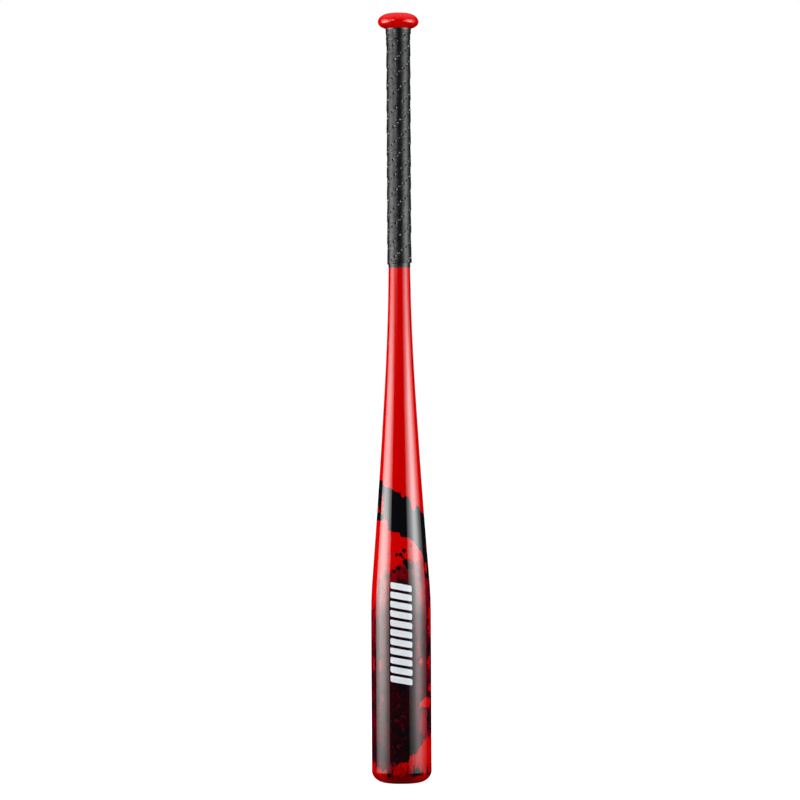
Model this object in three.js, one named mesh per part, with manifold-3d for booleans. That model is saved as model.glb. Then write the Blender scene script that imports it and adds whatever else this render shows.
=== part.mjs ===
// A one-piece aluminium baseball bat, standing on its barrel end.
// Units are millimetres. The bat's axis is +Z, from the centre of the barrel's end face
// up to the knob. Every round piece is turned about that axis.

import * as THREE from 'three';
import { mergeVertices } from 'three/addons/utils/BufferGeometryUtils.js';
import Module from 'manifold-3d';

const wasm = await Module();
wasm.setup();

// Driving dimensions

const LENGTH = 858;
const BARREL_RADIUS = 33.35;
const HANDLE_RADIUS = 11.9;
const KNOB_RADIUS = 22.75;
const FOOT_RADIUS = 18.5;

const BARREL_WALL = 2.5;
const HANDLE_WALL = 2.9;

const GRIP_BOTTOM = 577;
const GRIP_TOP = 836;

const GRIP_PITCH = 24.6;
const GRIP_INNER_RADIUS = 12.35;
const GRIP_THICKNESS = 1;
const GRIP_LAP = 0.25;

const ROUND_SEGMENTS = 48;
const INNER_SEGMENTS = 24;
const CLEARANCE = 0.3;

// Materials

function finish(color, roughness, metalness) {
  return new THREE.MeshStandardMaterial({ color, roughness, metalness });
}

const redLacquer = finish(0xc60605, 0.12, 0.35);
const redCap = finish(0x8e0605, 0.3, 0);
const weldMetal = finish(0x9a9c9e, 0.45, 1);
const blackGrip = finish(0x1b1c1e, 0.55, 0);
const blackVinyl = finish(0x111214, 0.25, 0);
const blackPlug = finish(0x16171a, 0.5, 0);
const greyFoam = finish(0x4a4c50, 0.9, 0);
const paperTape = finish(0xcfc7b0, 0.7, 0);

// Helpers. A profile is a list of [radius, height] pairs.

function turn(profile, segments = ROUND_SEGMENTS) {
  const points = profile.map(([radius, height]) => new THREE.Vector2(radius, height));
  const geometry = new THREE.LatheGeometry(points, segments);
  geometry.rotateX(Math.PI / 2);
  return geometry;
}

function ring(profile, segments) {
  return turn([...profile, profile[0]], segments);
}

// Points on an elliptical arc. Angle 0 points away from the axis, 90 degrees points up.
function arc(centre, radii, fromDegrees, toDegrees, steps) {
  const points = [];
  for (let step = 0; step <= steps; step += 1) {
    const degrees = THREE.MathUtils.lerp(fromDegrees, toDegrees, step / steps);
    const angle = THREE.MathUtils.degToRad(degrees);
    points.push([
      centre[0] + radii[0] * Math.cos(angle),
      centre[1] + radii[1] * Math.sin(angle),
    ]);
  }
  return points;
}

// A bevelled plug on the axis.
function peg(radius, bottom, top, bevel) {
  return turn([
    [0, bottom],
    [radius - bevel, bottom],
    [radius, bottom + bevel],
    [radius, top - bevel],
    [radius - bevel, top],
    [0, top],
  ], INNER_SEGMENTS);
}

function toSolid(geometry) {
  const bare = geometry.clone();
  bare.deleteAttribute('normal');
  bare.deleteAttribute('uv');
  const merged = mergeVertices(bare);
  return new wasm.Manifold(new wasm.Mesh({
    numProp: 3,
    vertProperties: new Float32Array(merged.attributes.position.array),
    triVerts: new Uint32Array(merged.index.array),
  }));
}

function fromSolid(solid) {
  const mesh = solid.getMesh();
  const geometry = new THREE.BufferGeometry();
  geometry.setAttribute('position', new THREE.BufferAttribute(mesh.vertProperties, 3));
  geometry.setIndex(new THREE.BufferAttribute(mesh.triVerts, 1));
  geometry.computeVertexNormals();
  return geometry;
}

// A solid cylinder between two heights, used as a cutter.
function cutter(radius, bottom, top) {
  const geometry = new THREE.CylinderGeometry(radius, radius, top - bottom, ROUND_SEGMENTS);
  geometry.rotateX(Math.PI / 2);
  geometry.translate(0, 0, (bottom + top) / 2);
  return toSolid(geometry);
}

// Outer surface of the tube. The barrel is straight, the taper follows a smooth curve
// through a few stations, and the handle is straight again. A station is a radius and
// the height where the tube has it.

const TAPER_STATIONS = [
  [BARREL_RADIUS, 190],
  [33.1, 204],
  [32.5, 216.6],
  [30.5, 243],
  [25.45, 310],
  [20, 391],
  [15.25, 471],
  [13.1, 525],
  [12.3, 560],
  [HANDLE_RADIUS, 585],
];
const TAPER_STEPS = 28;

const taperCurve = new THREE.CatmullRomCurve3(
  TAPER_STATIONS.map(([radius, height]) => new THREE.Vector3(radius, 0, height)),
  false,
  'centripetal',
);

const taperPoints = taperCurve
  .getSpacedPoints(TAPER_STEPS)
  .map((point) => [point.x, point.z]);

// The closed end: a small corner arc, a short cone, then the cap's larger round down to
// the flat foot. The seam between the tube and the cap lies where the cone meets the round.

const CONE_DEGREES = 35.7;
const CORNER_ARC = 6.4;
const CAP_ARC = 13.2;

const coneRise = Math.sin(THREE.MathUtils.degToRad(CONE_DEGREES));
const coneRun = Math.cos(THREE.MathUtils.degToRad(CONE_DEGREES));
const SEAM_HEIGHT = CAP_ARC * (1 - coneRise);
const SEAM_RADIUS = FOOT_RADIUS + CAP_ARC * coneRun;
const CORNER_LOW_RADIUS = BARREL_RADIUS - CORNER_ARC * (1 - coneRun);
const CORNER_LOW_HEIGHT = SEAM_HEIGHT
  + (CORNER_LOW_RADIUS - SEAM_RADIUS) * coneRun / coneRise;
const CORNER_CENTRE_HEIGHT = CORNER_LOW_HEIGHT + CORNER_ARC * coneRise;

// The tube's end is rolled in to a lip, which the cap snaps over.
const LIP_RADIUS = 26.4;
const LIP_TOP = 9.6;
const TUBE_TOP = LENGTH - 10;
const SEAM_GAP = CLEARANCE / 2;

function makeShell() {
  const outer = [
    [SEAM_RADIUS + SEAM_GAP * coneRise, SEAM_HEIGHT + SEAM_GAP * coneRun],
    ...arc(
      [BARREL_RADIUS - CORNER_ARC, CORNER_CENTRE_HEIGHT],
      [CORNER_ARC, CORNER_ARC],
      -CONE_DEGREES,
      0,
      4,
    ),
    ...taperPoints,
    [HANDLE_RADIUS, TUBE_TOP],
  ];
  const innerTaper = [];
  for (let index = taperPoints.length - 1; index >= 0; index -= 2) {
    const [radius, height] = taperPoints[index];
    const share = (BARREL_RADIUS - radius) / (BARREL_RADIUS - HANDLE_RADIUS);
    innerTaper.push([radius - THREE.MathUtils.lerp(BARREL_WALL, HANDLE_WALL, share), height]);
  }
  const boreRadius = BARREL_RADIUS - BARREL_WALL;
  const inner = [
    [HANDLE_RADIUS - HANDLE_WALL, TUBE_TOP],
    ...innerTaper,
    ...arc(
      [LIP_RADIUS, LIP_TOP + CORNER_ARC],
      [boreRadius - LIP_RADIUS, CORNER_ARC],
      0,
      -90,
      3,
    ),
    [LIP_RADIUS, SEAM_HEIGHT + SEAM_GAP],
  ];
  return ring([...outer, ...inner]);
}

// The cap is a cup, open towards the barrel. A groove behind its rim snaps over the
// tube's rolled lip, and a bevelled bead above the groove holds it.

const CAP_CUP_RADIUS = 23;
const CAP_CUP_TOP = 21;
const CAP_FLOOR = 5;
const SNAP_DEPTH = 1.3;

function makeEndCap() {
  const grooveRadius = LIP_RADIUS - CLEARANCE;
  const beadRadius = grooveRadius + SNAP_DEPTH;
  const beadBottom = LIP_TOP + CLEARANCE + SNAP_DEPTH;
  const rim = arc(
    [FOOT_RADIUS, CAP_ARC],
    [CAP_ARC, CAP_ARC],
    -90,
    -CONE_DEGREES - 1,
    8,
  );
  return turn([
    [0, 0],
    ...rim,
    [grooveRadius, SEAM_HEIGHT - SEAM_GAP],
    [grooveRadius, LIP_TOP + CLEARANCE],
    [beadRadius, beadBottom],
    [beadRadius, beadBottom + SNAP_DEPTH],
    [grooveRadius - SNAP_DEPTH / 2, CAP_CUP_TOP],
    [CAP_CUP_RADIUS, CAP_CUP_TOP],
    [CAP_CUP_RADIUS, CAP_FLOOR],
    [0, CAP_FLOOR],
  ]);
}

// Foam puck pressed into the barrel just above the cap.
function makeBarrelFoam() {
  const radius = BARREL_RADIUS - BARREL_WALL - CLEARANCE;
  return peg(radius, CAP_CUP_TOP + 3, CAP_CUP_TOP + 41, 2);
}

// Foam rod in the upper handle, which takes the sting out of a mishit.
function makeHandlePlug() {
  const radius = HANDLE_RADIUS - HANDLE_WALL - CLEARANCE;
  return peg(radius, LENGTH - 168, LENGTH - 22, 1.5);
}

// The knob is an aluminium disc with a socket for the tube below, a short neck that is
// welded to the tube, and a vent hole through its top.

const KNOB_TOP_ARC = [14.9, 9.6];
const KNOB_UNDER_ARC = [10, 7.2];
const KNOB_WAIST = LENGTH - KNOB_TOP_ARC[1];
const KNOB_UNDERSIDE = KNOB_WAIST - KNOB_UNDER_ARC[1];
const NECK_LENGTH = 2.6;
const NECK_FILLET = 0.5;
const NECK_BOTTOM = KNOB_UNDERSIDE - NECK_LENGTH;
const NECK_TOP_RADIUS = 14;
const NECK_BOTTOM_RADIUS = 13.25;
const VENT_RADIUS = 4;

function makeKnob() {
  const socketRadius = HANDLE_RADIUS + CLEARANCE / 2;
  const socketTop = TUBE_TOP + CLEARANCE;
  return ring([
    [socketRadius, NECK_BOTTOM],
    [NECK_BOTTOM_RADIUS, NECK_BOTTOM],
    [NECK_TOP_RADIUS, KNOB_UNDERSIDE - NECK_FILLET],
    [NECK_TOP_RADIUS + NECK_FILLET, KNOB_UNDERSIDE],
    ...arc(
      [KNOB_RADIUS - KNOB_UNDER_ARC[0], KNOB_WAIST],
      KNOB_UNDER_ARC,
      -68,
      0,
      7,
    ),
    ...arc(
      [KNOB_RADIUS - KNOB_TOP_ARC[0], KNOB_WAIST],
      KNOB_TOP_ARC,
      10,
      90,
      8,
    ),
    [VENT_RADIUS, LENGTH],
    [VENT_RADIUS, socketTop],
    [socketRadius, socketTop],
  ]);
}

// Fillet weld in the corner between the knob's neck and the tube.
function makeWeldBead() {
  const innerRadius = HANDLE_RADIUS + CLEARANCE / 2;
  const legAcross = NECK_BOTTOM_RADIUS - HANDLE_RADIUS - CLEARANCE;
  const legDown = 2;
  const top = NECK_BOTTOM - CLEARANCE / 2;
  return ring([
    ...arc([innerRadius + legAcross, top - legDown], [legAcross, legDown], 180, 90, 3),
    [innerRadius, top],
  ]);
}

// Push-in plug that closes the vent hole. Its face sits just below the knob's top face.
function makeKnobPlug() {
  const sink = 0.4;
  return peg(VENT_RADIUS - CLEARANCE, TUBE_TOP + 1, LENGTH - sink, 0.5);
}

// Smooth black band that covers the weld and the knob's neck.
function makeKnobTape() {
  const gap = CLEARANCE / 2;
  const thickness = 0.35;
  const low = [NECK_BOTTOM_RADIUS + gap, GRIP_TOP + gap];
  const middle = [NECK_BOTTOM_RADIUS + gap, NECK_BOTTOM];
  const high = [NECK_TOP_RADIUS + gap, KNOB_UNDERSIDE - NECK_FILLET];
  return ring([
    [low[0] + thickness, low[1]],
    [middle[0] + thickness, middle[1]],
    [high[0] + thickness, high[1]],
    high,
    middle,
    low,
  ]);
}

// Radius of the tube's outer surface at a height on the taper's last stretch.
function tubeRadiusAt(height) {
  for (let index = 1; index < taperPoints.length; index += 1) {
    const [lowRadius, low] = taperPoints[index - 1];
    const [highRadius, high] = taperPoints[index];
    if (height <= high) {
      return THREE.MathUtils.mapLinear(height, low, high, lowRadius, highRadius);
    }
  }
  return HANDLE_RADIUS;
}

// Thin vinyl band. Its lower edge shows below the grip, and the grip's first turn covers
// the rest.
const FINISH_TAPE_BOTTOM = GRIP_BOTTOM - 3;
const FINISH_TAPE_TOP = GRIP_BOTTOM + 11;
const TAPE_GAP = 0.08;

function makeFinishTape() {
  const thickness = 0.12;
  const heights = [FINISH_TAPE_BOTTOM, GRIP_BOTTOM, GRIP_BOTTOM + 5, FINISH_TAPE_TOP];
  const inner = heights.map((height) => [tubeRadiusAt(height) + TAPE_GAP, height]);
  const outer = inner.map(([radius, height]) => [radius + thickness, height]);
  return ring([...outer, ...inner.reverse()]);
}

// Double-sided tape on the handle under the grip.
function makeAdhesive() {
  const thickness = 0.14;
  const innerRadius = HANDLE_RADIUS + TAPE_GAP;
  const outerRadius = innerRadius + thickness;
  const bottom = FINISH_TAPE_TOP + CLEARANCE;
  const top = GRIP_TOP - 1;
  return ring([
    [outerRadius, bottom],
    [outerRadius, top],
    [innerRadius, top],
    [innerRadius, bottom],
  ]);
}

// The grip is one flat strip wound up the handle as a right-handed helix, then trimmed
// square at both ends. Each turn is thicker along the edge that laps its neighbour.

const STEPS_PER_TURN = 24;
const GRIP_SEAM = 0.5;

function makeGrip() {
  const turns = Math.ceil((GRIP_TOP - GRIP_BOTTOM) / GRIP_PITCH) + 1;
  const strip = new THREE.BoxGeometry(1, 1, turns, 1, 2, turns * STEPS_PER_TURN);
  const position = strip.attributes.position;
  const width = GRIP_PITCH - GRIP_SEAM;
  const startHeight = GRIP_BOTTOM - GRIP_PITCH / 2;
  for (let index = 0; index < position.count; index += 1) {
    const through = 0.5 - position.getX(index);
    const across = position.getY(index);
    const turned = position.getZ(index) + turns / 2;
    const angle = turned * 2 * Math.PI;
    const lap = across < 0 ? GRIP_LAP : 0;
    const radius = GRIP_INNER_RADIUS + through * (GRIP_THICKNESS + lap);
    const height = startHeight + turned * GRIP_PITCH + across * width;
    position.setXYZ(index, radius * Math.cos(angle), radius * Math.sin(angle), height);
  }
  const reach = GRIP_INNER_RADIUS * 2;
  const spare = GRIP_PITCH * 3;
  const trimmed = toSolid(strip)
    .subtract(cutter(reach, GRIP_BOTTOM - spare, GRIP_BOTTOM))
    .subtract(cutter(reach, GRIP_TOP, GRIP_TOP + spare));
  return fromSolid(trimmed);
}

// Assembly

const bat = new THREE.Group();

function add(name, geometry, material) {
  const mesh = new THREE.Mesh(geometry, material);
  mesh.name = name;
  bat.add(mesh);
}

add('bat_shell', makeShell(), redLacquer);
add('end_cap', makeEndCap(), redCap);
add('barrel_foam_damper', makeBarrelFoam(), greyFoam);
add('handle_damping_plug', makeHandlePlug(), greyFoam.clone());
add('knob', makeKnob(), redLacquer.clone());
add('knob_weld_bead', makeWeldBead(), weldMetal);
add('knob_end_plug', makeKnobPlug(), blackPlug);
add('knob_end_tape', makeKnobTape(), blackVinyl);
add('grip_tape', makeGrip(), blackGrip);
add('grip_adhesive_strip', makeAdhesive(), paperTape);
add('grip_finish_tape', makeFinishTape(), blackVinyl.clone());

export default bat;
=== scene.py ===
# A one-piece aluminium baseball bat with a red and black barrel, standing on its barrel end.
# Metres, +Z along the bat towards the knob, and the front of the barrel graphic faces -Y.

import math

import bmesh
import bpy
import numpy as np
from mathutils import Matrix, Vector, geometry, noise


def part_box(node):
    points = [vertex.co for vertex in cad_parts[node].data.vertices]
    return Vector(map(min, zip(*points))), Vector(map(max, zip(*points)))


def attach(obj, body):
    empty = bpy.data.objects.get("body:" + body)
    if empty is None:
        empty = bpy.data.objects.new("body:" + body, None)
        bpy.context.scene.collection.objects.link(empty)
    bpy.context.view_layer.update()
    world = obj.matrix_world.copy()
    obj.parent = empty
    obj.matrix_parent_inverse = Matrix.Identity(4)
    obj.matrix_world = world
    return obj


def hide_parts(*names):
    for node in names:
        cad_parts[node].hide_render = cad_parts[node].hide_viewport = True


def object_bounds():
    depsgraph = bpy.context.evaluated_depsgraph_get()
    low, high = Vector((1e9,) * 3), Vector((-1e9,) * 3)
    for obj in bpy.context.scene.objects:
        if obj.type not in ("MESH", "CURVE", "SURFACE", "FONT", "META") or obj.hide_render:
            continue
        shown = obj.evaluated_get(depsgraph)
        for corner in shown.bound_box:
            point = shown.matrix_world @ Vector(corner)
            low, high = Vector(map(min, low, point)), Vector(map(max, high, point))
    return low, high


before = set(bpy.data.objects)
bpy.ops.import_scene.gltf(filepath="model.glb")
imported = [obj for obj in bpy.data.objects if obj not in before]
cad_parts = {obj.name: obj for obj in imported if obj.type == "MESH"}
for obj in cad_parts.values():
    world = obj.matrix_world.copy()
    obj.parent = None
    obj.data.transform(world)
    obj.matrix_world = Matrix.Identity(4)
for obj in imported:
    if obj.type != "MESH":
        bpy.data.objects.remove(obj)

CAD_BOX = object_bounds()
MM = 0.001
BAT_HEIGHT = CAD_BOX[1].z
BARREL_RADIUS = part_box("bat_shell")[1].x


# ---------------------------------------------------------------- mesh helpers

ROUND_SEGMENTS = 192
CORNER_ANGLE = math.radians(24)
SHARP_ANGLE = math.radians(38)
WELD = 1e-6


def add_piece(name, mesh, material, slot, *nodes):
    """Shows a finished mesh as a piece of the bat, in place of the named CAD nodes."""
    mesh.shade_smooth()
    mesh.set_sharp_from_angle(angle=SHARP_ANGLE)
    mesh.materials.append(material)
    piece = bpy.data.objects.new(name, mesh)
    bpy.context.scene.collection.objects.link(piece)
    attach(piece, "root")
    if nodes:
        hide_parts(*nodes)
    return piece


def mesh_from(name, vertices, faces):
    """A closed mesh whose faces all point out."""
    mesh = bpy.data.meshes.new(name)
    mesh.from_pydata(vertices, [], faces)
    solid = bmesh.new()
    solid.from_mesh(mesh)
    bmesh.ops.remove_doubles(solid, verts=solid.verts, dist=WELD)
    bmesh.ops.recalc_face_normals(solid, faces=solid.faces)
    solid.to_mesh(mesh)
    solid.free()
    return mesh


def meridian(node):
    """The outline of a turned CAD node, as ordered (radius, height) points, and whether
    it closes on itself."""
    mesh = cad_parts[node].data
    on_cut = {}
    for vertex in mesh.vertices:
        x, y, z = vertex.co
        if abs(x) < WELD and y < WELD:
            on_cut[vertex.index] = (round(-y / WELD), round(z / WELD))
    neighbours = {}
    for edge in mesh.edges:
        ends = [on_cut.get(index) for index in edge.vertices]
        if None in ends or ends[0] == ends[1]:
            continue
        neighbours.setdefault(ends[0], set()).add(ends[1])
        neighbours.setdefault(ends[1], set()).add(ends[0])
    tips = sorted(point for point, near in neighbours.items() if len(near) == 1)
    closed = not tips
    here = min(neighbours) if closed else tips[0]
    walk = [here]
    while True:
        onward = sorted(near for near in neighbours[here] if near not in walk)
        if not onward:
            break
        here = onward[0]
        walk.append(here)
    return np.array(walk) * WELD, closed


def unit(vector):
    return vector / max(np.linalg.norm(vector), 1e-12)


def rounded_corners(points, closed, bevel):
    """The outline with each sharp corner replaced by a short curve."""
    result = []
    count = len(points)
    for index, point in enumerate(points):
        is_end = not closed and index in (0, count - 1)
        before = points[index - 1] - point
        after = points[(index + 1) % count] - point
        turn = math.pi - math.acos(np.clip(unit(before) @ unit(after), -1, 1))
        if is_end or turn < CORNER_ANGLE:
            result.append(point)
            continue
        room = 0.35 * min(np.linalg.norm(before), np.linalg.norm(after))
        reach = min(bevel, room)
        start = point + unit(before) * reach
        end = point + unit(after) * reach
        for share in np.linspace(0, 1, 5):
            low = start + (point - start) * share
            high = point + (end - point) * share
            result.append(low + (high - low) * share)
    return np.array(result)


def smoothed(points, closed, spacing):
    """The outline with curved steps between its points. Corners stay as they are."""
    count = len(points)
    forward = np.roll(points, -1, axis=0) - points
    length = np.linalg.norm(forward, axis=1)
    heading = forward / np.maximum(length, 1e-12)[:, None]
    tangents_in = heading.copy()
    tangents_out = heading.copy()
    for index in range(count):
        if not closed and index in (0, count - 1):
            continue
        previous = heading[index - 1]
        turn = math.acos(np.clip(previous @ heading[index], -1, 1))
        if turn < CORNER_ANGLE:
            blend = unit(previous * length[index - 1] + heading[index] * length[index])
            tangents_out[index] = blend
            tangents_in[index - 1] = blend
    last = count if closed else count - 1
    result = []
    for index in range(last):
        start = points[index]
        end = points[(index + 1) % count]
        bend = math.acos(np.clip(tangents_out[index] @ tangents_in[index], -1, 1))
        steps = max(1, math.ceil(length[index] / spacing), math.ceil(math.degrees(bend) / 2.5))
        for share in np.arange(steps) / steps:
            square, cube = share**2, share**3
            result.append(
                (2 * cube - 3 * square + 1) * start
                + (cube - 2 * square + share) * length[index] * tangents_out[index]
                + (3 * square - 2 * cube) * end
                + (cube - square) * length[index] * tangents_in[index]
            )
    if not closed:
        result.append(points[-1])
    return np.array(result)


def turned_mesh(name, outline, closed, segments=ROUND_SEGMENTS, shape=None):
    """An outline turned about the Z axis. shape may move a (radius, height, angle)."""
    vertices = []
    rows = []
    for radius, height in outline:
        if radius < WELD:
            rows.append([len(vertices)] * segments)
            vertices.append((0, 0, height))
            continue
        rows.append(list(range(len(vertices), len(vertices) + segments)))
        for column in range(segments):
            angle = 2 * math.pi * column / segments
            if shape:
                r, z = shape(radius, height, angle)
            else:
                r, z = radius, height
            vertices.append((r * math.sin(angle), -r * math.cos(angle), z))
    faces = []
    pairs = list(zip(rows, rows[1:]))
    if closed:
        pairs.append((rows[-1], rows[0]))
    for low, high in pairs:
        for column in range(segments):
            onward = (column + 1) % segments
            corners = [low[column], low[onward], high[onward], high[column]]
            face = list(dict.fromkeys(corners))
            if len(face) > 2:
                faces.append(face)
    return mesh_from(name, vertices, faces)


def crowned_foot(outline, closed):
    """The outline with the slope at the barrel's foot bowed out, as a rolled rim is."""
    slope_heights, slope_radii = np.array(FOOT_SLOPE).T * MM
    top = slope_heights[-1]
    last = len(outline) if closed else len(outline) - 1
    result = []
    for index in range(last):
        start = outline[index]
        end = outline[(index + 1) % len(outline)]
        steps = 1
        if max(start[1], end[1]) < top and min(start[0], end[0]) > slope_radii[0]:
            steps = math.ceil(np.linalg.norm(end - start) / FOOT_STEP)
        for share in np.arange(steps) / steps:
            radius, height = start + (end - start) * share
            on_slope = radius > np.interp(height, slope_heights, slope_radii) - 0.5 * MM
            if height < top and on_slope:
                bow = FOOT_CROWN * math.sin(math.pi * height / top) ** 2
                radius, height = radius + FOOT_BOW_OUT * bow, height - FOOT_BOW_DOWN * bow
            result.append((radius, height))
    if not closed:
        result.append(outline[-1])
    return np.array(result)


def fine_turning(node, bevel, spacing=20 * MM):
    """The smooth outline that stands for a turned CAD node."""
    points, closed = meridian(node)
    outline = smoothed(rounded_corners(points, closed, bevel), closed, spacing)
    return outline, closed


# ------------------------------------------------------------ material helpers


class Field:
    """A number that varies over a surface: a node socket that can be used in sums."""

    def __init__(self, graph, socket):
        self.graph = graph
        self.socket = socket

    def __add__(self, other):
        return self.graph.math("ADD", self, other)

    def __sub__(self, other):
        return self.graph.math("SUBTRACT", self, other)

    def __mul__(self, other):
        return self.graph.math("MULTIPLY", self, other)

    def __truediv__(self, other):
        return self.graph.math("DIVIDE", self, other)

    def __neg__(self):
        return self * -1

    __radd__ = __add__
    __rmul__ = __mul__

    def __rsub__(self, other):
        return self.graph.math("SUBTRACT", other, self)

    def __or__(self, other):
        return self.graph.math("MAXIMUM", self, other)

    def __and__(self, other):
        return self.graph.math("MINIMUM", self, other)

    def square(self):
        return self.graph.math("MULTIPLY", self, self)

    def over(self, level, blur):
        """1 where the field is above level, 0 below, with an edge blur wide."""
        return self.graph.math("ADD", (self - level) / blur, 0.5, clamp=True)


class Graph:
    """A material, or a world, and short calls that add nodes to it."""

    def __init__(self, name, library=bpy.data.materials):
        self.material = library.new(name)
        self.material.use_nodes = True
        self.tree = self.material.node_tree
        self.tree.nodes.clear()

    def feed(self, socket, value):
        if isinstance(value, Field):
            value = value.socket
        if isinstance(value, bpy.types.NodeSocket):
            self.tree.links.new(value, socket)
        else:
            socket.default_value = value

    def add(self, kind, settings=None, **inputs):
        node = self.tree.nodes.new("ShaderNode" + kind)
        for name, value in (settings or {}).items():
            setattr(node, name, value)
        for name, value in inputs.items():
            self.feed(node.inputs[name.replace("_", " ")], value)
        return node

    def math(self, operation, *values, clamp=False):
        node = self.add("Math", {"operation": operation, "use_clamp": clamp})
        for socket, value in zip(node.inputs, values):
            self.feed(socket, value)
        return Field(self, node.outputs[0])

    def position(self):
        """Object coordinates in metres, as a vector and its three fields."""
        vector = self.add("TexCoord").outputs["Object"]
        split = self.add("SeparateXYZ", Vector=vector)
        return vector, [Field(self, split.outputs[axis]) for axis in "XYZ"]

    def vector(self, x, y, z):
        return self.add("CombineXYZ", X=x, Y=y, Z=z).outputs[0]

    def noise(self, vector, size, detail=2.0, roughness=0.5, distortion=0.0):
        """Soft noise from 0 to 1 whose largest lumps are about size metres across."""
        node = self.add(
            "TexNoise",
            Vector=vector,
            Scale=1 / size,
            Detail=detail,
            Roughness=roughness,
            Distortion=distortion,
        )
        return Field(self, node.outputs[0])

    def curve(self, field, points):
        """A smooth curve through (input, output) points, held flat past its ends."""
        node = self.add("FloatCurve", Value=field)
        lows = np.min(points, axis=0)
        spans = np.ptp(points, axis=0)
        scaled = (np.array(points) - lows) / spans
        track = node.mapping.curves[0]
        while len(track.points) < len(scaled):
            track.points.new(0.5, 0.5)
        for point, (x, y) in zip(track.points, scaled):
            point.location = (float(x), float(y))
        node.mapping.update()
        self.feed(node.inputs["Value"], (field - float(lows[0])) / float(spans[0]))
        return Field(self, node.outputs[0]) * float(spans[1]) + float(lows[1])

    def mix(self, share, first, second):
        node = self.add("Mix", {"data_type": "RGBA"})
        self.feed(node.inputs[0], share)
        self.feed(node.inputs[6], first)
        self.feed(node.inputs[7], second)
        return node.outputs[2]

    def bump(self, height, depth, normal=None):
        """A bump of the given depth in metres for a height field from 0 to 1."""
        node = self.add("Bump", Height=height, Strength=1.0, Distance=depth)
        if normal is not None:
            self.feed(node.inputs["Normal"], normal)
        return node.outputs[0]

    def finish(self, **inputs):
        shader = self.add("BsdfPrincipled", **inputs)
        output = self.add("OutputMaterial", Surface=shader.outputs[0])
        output.is_active_output = True
        return self.material


def rgb(red, green, blue):
    return (red, green, blue, 1.0)


# ------------------------------------------------------------------- materials


def red_paint(graph, vector):
    """The plain red of the lacquer, with the faintest cloudiness in its depth."""
    cloud = graph.noise(vector, 40 * MM, detail=3)
    return graph.mix(cloud, rgb(0.50, 0.0, 0.0), rgb(0.56, 0.001, 0.001))


def lacquer_finish(graph, vector, colour):
    """Clear gloss over paint: slow orange peel, hairline handling marks and a gloss that varies in
    broad smears.
    """
    peel = graph.noise(vector, 4 * MM, detail=1)
    smear = graph.noise(vector, 25 * MM, detail=4)
    x, y, z = vector_parts(graph, vector)
    hairs = graph.noise(graph.vector(x * 14.0, y * 14.0, z * 0.8), 5 * MM, detail=3)
    roughness = 0.045 + smear * 0.03 + hairs.over(0.66, 0.08) * 0.03
    return graph.finish(
        Base_Color=colour,
        Roughness=roughness,
        IOR=1.5,
        Normal=graph.bump(peel, 0.004 * MM),
    )


def vector_parts(graph, vector):
    split = graph.add("SeparateXYZ", Vector=vector)
    return [Field(graph, split.outputs[axis]) for axis in "XYZ"]


def plain_red_lacquer(name):
    graph = Graph(name)
    vector, _ = graph.position()
    return lacquer_finish(graph, vector, red_paint(graph, vector))


# The barrel graphic is laid out by angle in degrees from the front, positive to the right,
# and height in millimetres above the barrel's end.

BAND_TOP = [
    (-180, 308), (-150, 312), (-120, 324), (-80, 337), (-38, 330), (-25, 328), (-12, 325),
    (1, 324), (5, 319), (13, 321), (24, 313), (31, 307), (34, 304), (45, 309), (58, 304),
    (75, 299), (110, 292), (150, 296), (180, 308),
]
BAND_BOTTOM = [
    (-180, 296), (-150, 300), (-120, 300), (-70, 291), (-36, 292.5), (-28, 282), (-2, 278),
    (1, 275), (15, 274), (24, 272), (35, 267), (43, 262), (56, 252), (62, 228), (100, 234),
    (130, 262), (155, 288), (180, 296),
]
# how whole the band is, from 1 down to a few torn flecks at the back
BAND_HOLD = [(-180, -0.14), (-150, -0.02), (-115, 0.16), (-85, 1), (0, 1), (85, 1), (110, 0.2),
             (145, 0.0), (180, -0.14)]
GRUNGE_TOP = [
    (-180, 250), (-120, 190), (-70, 198), (-58, 214), (-49, 234), (-33, 243), (-15, 244),
    (0, 246), (20, 250), (40, 252), (56, 262), (80, 290), (120, 300), (150, 285), (180, 250),
]
# how many millimetres the spatter takes to turn from red to black
GRUNGE_SPREAD = [(-180, 50), (-90, 60), (-49, 66), (-30, 52), (-10, 24), (12, 22), (34, 46),
                 (56, 90), (110, 110), (180, 50)]
# how many millimetres the edge of the spatter wanders, in large splashes and in small crumbs
SPLASH_REACH = 46.0
CRUMB_REACH = 12.0
FOOT_RED_TOP = [
    (-180, 22), (-90, 22), (-65, 22), (-50, 18), (-35, 15), (-20, 17), (-10, 19), (-4, 24),
    (8, 25), (15, 30), (28, 34), (33, 39), (40, 43), (55, 50), (75, 53), (110, 60), (150, 35),
    (180, 22),
]
# where brush bristles left black streaks in the red at the foot, from 0 to 1
FOOT_BRISTLES = [(-180, 0.1), (-60, 0), (-34, 0.1), (-26, 0.7), (-10, 0.8), (-5, 0.2), (7, 0.2),
                 (14, 0.8), (40, 0.9), (48, 0.3), (56, 0.7), (64, 0.1), (110, 0.1), (180, 0.1)]
# where the red at the foot is darkened with painted shade and grime, from 0 to 1
FOOT_SHADE_AND_GRIME = [(-180, 0.6), (-62, 0.4), (-44, 0.35), (-30, 0.8), (-4, 0.95), (16, 0.8), (30, 0.3),
              (50, 0.2), (64, 0.4), (110, 0.6), (180, 0.6)]
# where the black carries a dim red bloom, from 0 in front to 1 at the sides and back
SIDE_BLOOM = [(-180, 1), (-30, 1), (-20, 0.05), (22, 0), (32, 0.9), (180, 1)]
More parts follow.
